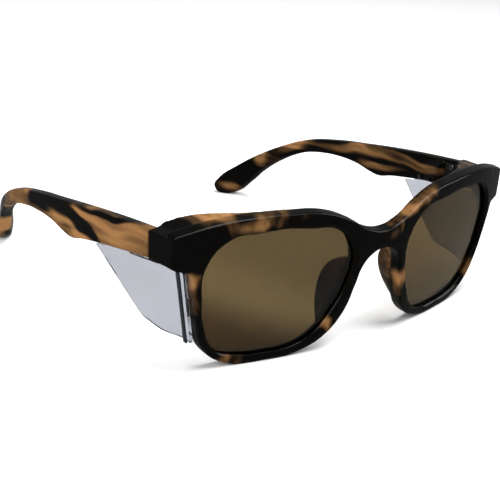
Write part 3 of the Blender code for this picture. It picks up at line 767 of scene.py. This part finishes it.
def slotted(head_radius, head_low, head_high, shank_radius, shank_low, shank_high):
    """A screw along Z: its slotted head lies between head_low and head_high."""
    head = soften(cylinder(head_radius, min(head_low, head_high), max(head_low, head_high)),
                  0.15 * MM)
    shank = cylinder(shank_radius, min(shank_low, shank_high), max(shank_low, shank_high), 24)
    screw = as_object("screw", head)
    combine(screw, [shank], "UNION")
    out = 1 if head_high > head_low else -1
    floor = head_high - out * 0.22 * MM
    slot = box((-0.17 * MM, -3 * head_radius, min(floor, head_high + out * MM)),
               (0.17 * MM, 3 * head_radius, max(floor, head_high + out * MM)))
    return combine(screw, [slot], "DIFFERENCE")


def build_fixing(side, node, towards, index, body):
    inner = HALF_WIDTH - TEMPLE_THICKNESS - PIVOT_X - LEAF_PROUD
    y, z = fixing_places(towards)[index]
    screw = slotted(FIXING_HEAD, inner - GAP, inner - GAP - 0.5 * MM, 0.5 * MM,
                    inner - 0.4 * MM, inner + 2.3 * MM)
    spin = Matrix.Rotation(math.radians(35 + 70 * index), 4, "Z")
    screw.data.transform(sideways(y, z) @ spin)
    return show_screw(screw, side, node, body)


def build_hinge_screw(side, label):
    top = 1.5 * KNUCKLE + GAP
    screw = slotted(BARREL_RADIUS * 0.9, top + GAP, top + GAP + 0.6 * MM, BARREL_BORE - GAP,
                    -top, top + GAP + 0.3 * MM)
    screw.data.transform(Matrix.Rotation(math.radians(20), 4, "Z"))
    return show_screw(screw, side, f"hinge_screw_{label}", "front")


def show_screw(screw, side, node, body):
    screw.name = f"metal_{node}"
    put_in_hinge(side, screw)
    return show(screw, body, "screw_steel", metal("screw_steel", SCREW_STEEL, 0.3), node,
                smooth=35)


# ---------------------------------------------------------------- materials

made_looks = {}


def look(name):
    """A new node material, or None if it was made before."""
    if name in made_looks:
        return None
    material = bpy.data.materials.new(name)
    material.use_nodes = True
    made_looks[name] = material
    return material


def node(tree, kind, **values):
    """A new shader node; inputs are set by name with spaces as underscores."""
    made = tree.nodes.new(f"ShaderNode{kind}")
    for key, value in values.items():
        if hasattr(made, key):
            setattr(made, key, value)
        else:
            made.inputs[key.replace("_", " ")].default_value = value
    return made


def noise(tree, point, scale, detail=2.0, stretch=(1, 1, 1), offset=(0, 0, 0)):
    """Noise over the piece's own coordinates, stretched along its grain."""
    mapping = node(tree, "Mapping", Scale=stretch, Location=offset)
    tree.links.new(point, mapping.inputs["Vector"])
    made = node(tree, "TexNoise", Scale=scale, Detail=detail)
    tree.links.new(mapping.outputs[0], made.inputs["Vector"])
    return made


def ranged(tree, value, low, high, to_low=0.0, to_high=1.0, smooth=True):
    made = node(tree, "MapRange", interpolation_type="SMOOTHSTEP" if smooth else "LINEAR")
    for key, number in (("From Min", low), ("From Max", high), ("To Min", to_low),
                        ("To Max", to_high)):
        made.inputs[key].default_value = number
    tree.links.new(value, made.inputs["Value"])
    return made.outputs["Result"]


def math_node(tree, operation, first, second):
    made = node(tree, "Math", operation=operation)
    for socket, value in zip(made.inputs, (first, second)):
        if isinstance(value, (int, float)):
            socket.default_value = value
        else:
            tree.links.new(value, socket)
    return made.outputs[0]


def mixed(tree, share, first, second):
    """first and second are numbers or sockets; share runs from first to second."""
    made = tree.nodes.new("ShaderNodeMix")
    for socket, value in zip((made.inputs[0], made.inputs[2], made.inputs[3]),
                             (share, first, second)):
        if isinstance(value, (int, float)):
            socket.default_value = value
        else:
            tree.links.new(value, socket)
    return made.outputs[0]


def tortoise(name, grain, patches, seed):
    """Tortoiseshell acetate: soft blotches from noise, and the larger patches by place.

    Each patch is (x, y, z, half size along x, y and z, turn in degrees, darkness), in
    millimetres of the drawing. The turn is about X for a temple, whose patches have x = 0,
    and about Y for the front, where y counts from the curved front face.
    """
    material = look(name)
    if material is None:
        return made_looks[name]
    tree = material.node_tree
    shader = tree.nodes["Principled BSDF"]
    point = node(tree, "TexCoord").outputs["Object"]
    warp = noise(tree, point, 55, 1.5, offset=(seed, 0, 0))
    shift = node(tree, "VectorMath", operation="MULTIPLY_ADD")
    shift.inputs[1].default_value = (0.010, 0.014, 0.006)
    shift.inputs[2].default_value = (-0.005, -0.007, -0.003)
    tree.links.new(warp.outputs["Color"], shift.inputs[0])
    warped = node(tree, "VectorMath", operation="ADD")
    tree.links.new(point, warped.inputs[0])
    tree.links.new(shift.outputs[0], warped.inputs[1])
    blotch = noise(tree, warped.outputs[0], 60, 1.0, grain, (seed, seed, 0))
    dark = ranged(tree, blotch.outputs["Fac"], 0.36, 0.60)
    lean = STANCE.to_euler().x
    for x, y, z, *size, turn, darkness in patches:
        if x:
            place, turning = on_face(x * MM, z * MM, y * MM), (0, -math.radians(turn), 0)
        else:
            place, turning = Vector((0, y, z)) * MM, (math.radians(turn) + lean, 0, 0)
        local = node(tree, "Mapping", vector_type="TEXTURE", Location=STANCE @ place,
                     Rotation=turning, Scale=[half * MM for half in size])
        tree.links.new(warped.outputs[0], local.inputs["Vector"])
        far = node(tree, "VectorMath", operation="LENGTH")
        tree.links.new(local.outputs[0], far.inputs[0])
        dark = mixed(tree, ranged(tree, far.outputs["Value"], 1.6, 0.5), dark, darkness)
    streak = noise(tree, warped.outputs[0], 330, 1.5, [share ** 2 for share in grain],
                   (0, seed, 0))
    fine = ranged(tree, streak.outputs["Fac"], 0.25, 0.75, -0.3, 0.3)
    dark = math_node(tree, "ADD", dark, fine)
    ramp = node(tree, "ValToRGB")
    stops = ((0.0, AMBER), (0.3, TAN), (0.55, BROWN), (0.8, UMBER), (0.95, BLACK))
    while len(ramp.color_ramp.elements) < len(stops):
        ramp.color_ramp.elements.new(0.5)
    for element, (place, colour) in zip(ramp.color_ramp.elements, stops):
        element.position = place
        element.color = (*colour, 1)
    tree.links.new(dark, ramp.inputs["Fac"])
    tree.links.new(ramp.outputs["Color"], shader.inputs["Base Color"])
    wear = noise(tree, point, 900, 3.0)
    tree.links.new(ranged(tree, wear.outputs["Fac"], 0.3, 0.7, 0.12, 0.18),
                   shader.inputs["Roughness"])
    shader.inputs["Specular IOR Level"].default_value = 0.10
    return material


def tortoise_front():
    return tortoise("tortoise_front", (0.9, 0.6, 0.7), FRONT_PATCHES, 3.1)


def tortoise_pads():
    return tortoise("tortoise_pads", (1, 0.6, 0.8), PAD_PATCHES, 5.2)


def tortoise_temple(side):
    patches = LEFT_PATCHES if side > 0 else RIGHT_PATCHES
    label = "left" if side > 0 else "right"
    return tortoise(f"tortoise_temple_{label}", (0.6, 0.3, 1), patches, 1.7 * side)


def glass(tree, colour, roughness, ior):
    """Clear tinted plastic that also lets the lamps through to what lies behind."""
    shader = tree.nodes["Principled BSDF"]
    shader.inputs["Transmission Weight"].default_value = 1.0
    shader.inputs["IOR"].default_value = ior
    shader.inputs["Roughness"].default_value = roughness
    tree.links.new(colour, shader.inputs["Base Color"])
    through = node(tree, "BsdfTransparent")
    root = node(tree, "Gamma", Gamma=0.5)
    tree.links.new(colour, root.inputs["Color"])
    tree.links.new(root.outputs[0], through.inputs["Color"])
    mix = node(tree, "MixShader")
    tree.links.new(node(tree, "LightPath").outputs["Is Shadow Ray"], mix.inputs[0])
    tree.links.new(shader.outputs[0], mix.inputs[1])
    tree.links.new(through.outputs[0], mix.inputs[2])
    tree.links.new(mix.outputs[0], tree.nodes["Material Output"].inputs["Surface"])


def blend(tree, share, first, second):
    """A colour between two, by a socket that runs from 0 to 1."""
    ramp = node(tree, "ValToRGB")
    ramp.color_ramp.elements[0].color = (*first, 1)
    ramp.color_ramp.elements[1].color = (*second, 1)
    tree.links.new(share, ramp.inputs["Fac"])
    return ramp.outputs["Color"]


def lens_tint_with_painted_reflection():
    """Brown tint with a painted reflection: a lighter diagonal band, and darker towards the lower
    corner on the wearer's right.
    """
    material = look("lens_brown_painted_reflection")
    if material is None:
        return made_looks["lens_brown_painted_reflection"]
    tree = material.node_tree
    point = node(tree, "TexCoord").outputs["Object"]
    across = STANCE.to_3x3() @ Vector((0.43, 0, 1))
    start = across.dot(STANCE @ Vector((-60 * MM, 10 * MM, 0)))
    along = node(tree, "VectorMath", operation="DOT_PRODUCT")
    along.inputs[1].default_value = across
    tree.links.new(point, along.inputs[0])
    # Painted reflection: a lighter diagonal band across the lens, and darker towards the lower
    # corner
    rise = ranged(tree, along.outputs["Value"], start - 9 * MM, start + 6 * MM)
    fall = ranged(tree, along.outputs["Value"], start + 6 * MM, start + 20 * MM, 1.0, 0.62)
    share = math_node(tree, "MULTIPLY", rise, fall)
    glass(tree, blend(tree, share, LENS_PAINTED_REFLECTION_DARK, LENS_PAINTED_REFLECTION_LIGHT), 0.02, LENS_IOR)
    return material


def shield_clear():
    material = look("shield_clear")
    if material is None:
        return made_looks["shield_clear"]
    tree = material.node_tree
    haze = noise(tree, node(tree, "TexCoord").outputs["Object"], 60, 2.0)
    glass(tree, blend(tree, haze.outputs["Fac"], SHIELD_DARK, SHIELD_LIGHT), 0.05, SHIELD_IOR)
    return material


def shield_edge():
    """The sawn edge of the clear sheet."""
    material = look("shield_edge")
    if material is None:
        return made_looks["shield_edge"]
    tree = material.node_tree
    shader = tree.nodes["Principled BSDF"]
    saw = noise(tree, node(tree, "TexCoord").outputs["Object"], 400, 2.0)
    colour = blend(tree, saw.outputs["Fac"], SAWN_DARK, SAWN_LIGHT)
    tree.links.new(colour, shader.inputs["Base Color"])
    shader.inputs["Roughness"].default_value = 0.2
    shader.inputs["Alpha"].default_value = 0.8
    return material


def seal_dark():
    material = look("seal_dark")
    if material is None:
        return made_looks["seal_dark"]
    tree = material.node_tree
    shader = tree.nodes["Principled BSDF"]
    point = node(tree, "TexCoord").outputs["Object"]
    grain = noise(tree, point, 1500, 3.0)
    tree.links.new(blend(tree, grain.outputs["Fac"], SEAL_DARK, SEAL_LIGHT),
                   shader.inputs["Base Color"])
    tree.links.new(ranged(tree, grain.outputs["Fac"], 0.3, 0.7, 0.3, 0.45),
                   shader.inputs["Roughness"])
    return material


def metal(name, colour, roughness):
    material = look(name)
    if material is None:
        return made_looks[name]
    tree = material.node_tree
    shader = tree.nodes["Principled BSDF"]
    shader.inputs["Metallic"].default_value = 1.0
    point = node(tree, "TexCoord").outputs["Object"]
    brushed = noise(tree, point, 1800, 2.0, (0.15, 1, 1))
    dull = [0.75 * c for c in colour]
    bright = [min(1.0, 1.15 * c) for c in colour]
    tree.links.new(blend(tree, brushed.outputs["Fac"], dull, bright),
                   shader.inputs["Base Color"])
    rough = ranged(tree, brushed.outputs["Fac"], 0.3, 0.7, roughness - 0.06, roughness + 0.08)
    tree.links.new(rough, shader.inputs["Roughness"])
    return material


# ---------------------------------------------------------------- floor and light

def add_floor():
    solid = bmesh.new()
    bmesh.ops.create_grid(solid, x_segments=1, y_segments=1, size=4)
    mesh = bpy.data.meshes.new("floor")
    solid.to_mesh(mesh)
    solid.free()
    floor = bpy.data.objects.new("floor", mesh)
    bpy.context.scene.collection.objects.link(floor)
    material = bpy.data.materials.new("floor_pale")
    material.use_nodes = True
    shader = material.node_tree.nodes["Principled BSDF"]
    shader.inputs["Base Color"].default_value = FLOOR_PALE
    shader.inputs["Roughness"].default_value = 0.9
    shader.inputs["Specular IOR Level"].default_value = 0.1
    mesh.materials.append(material)
    floor.visible_glossy = False


def add_light(name, place, target, size, power):
    lamp = bpy.data.lights.new(name, "AREA")
    lamp.shape = "RECTANGLE"
    lamp.size, lamp.size_y = size
    lamp.energy = power
    made = bpy.data.objects.new(name, lamp)
    bpy.context.scene.collection.objects.link(made)
    made.location = place
    aim = Vector(target) - Vector(place)
    made.rotation_euler = aim.to_track_quat("-Z", "Y").to_euler()


def add_studio():
    bpy.context.scene.view_settings.view_transform = "Standard"
    world = bpy.data.worlds.new("studio")
    bpy.context.scene.world = world
    world.use_nodes = True
    world.node_tree.nodes["Background"].inputs["Color"].default_value = (1, 1, 1, 1)
    world.node_tree.nodes["Background"].inputs["Strength"].default_value = 0.2
    middle = (0, 0, 0.02)
    add_light("key", (0.1, -0.15, 0.9), middle, (0.8, 0.6), 12)
    add_light("left_fill", (-0.8, -0.3, 0.45), middle, (0.5, 0.6), 6)
    add_light("right_fill", (0.7, -0.4, 0.5), middle, (0.5, 0.5), 3.5)


# ---------------------------------------------------------------- assembly

add_camera()
add_floor()
add_studio()
build_front()
for sign, label in SIDES:
    arm = f"temple_arm_{label}"
    build_lens(sign, label)
    build_pad(sign, label)
    build_temple(sign, label)
    build_shield(sign, label)
    build_seal(sign, label)
    knuckle_step = KNUCKLE + GAP
    build_leaf(sign, f"front_hinge_leaf_{label}", -1, (-knuckle_step, knuckle_step), "front")
    build_leaf(sign, f"temple_hinge_leaf_{label}", 1, (0.0,), arm)
    build_hinge_screw(sign, label)
    for index, place in enumerate(("lower", "upper")):
        build_fixing(sign, f"front_leaf_screw_{place}_{label}", -1, index, "front")
        build_fixing(sign, f"temple_leaf_screw_{place}_{label}", 1, index, arm)
    steel = metal("core_steel", CORE_STEEL, 0.4)
    for kept in (f"temple_core_wire_{label}", f"shield_pin_front_{label}",
                 f"shield_pin_rear_{label}"):
        held = frame["nodes"][kept]
        held.data.materials.clear()
        held.data.materials.append(steel)
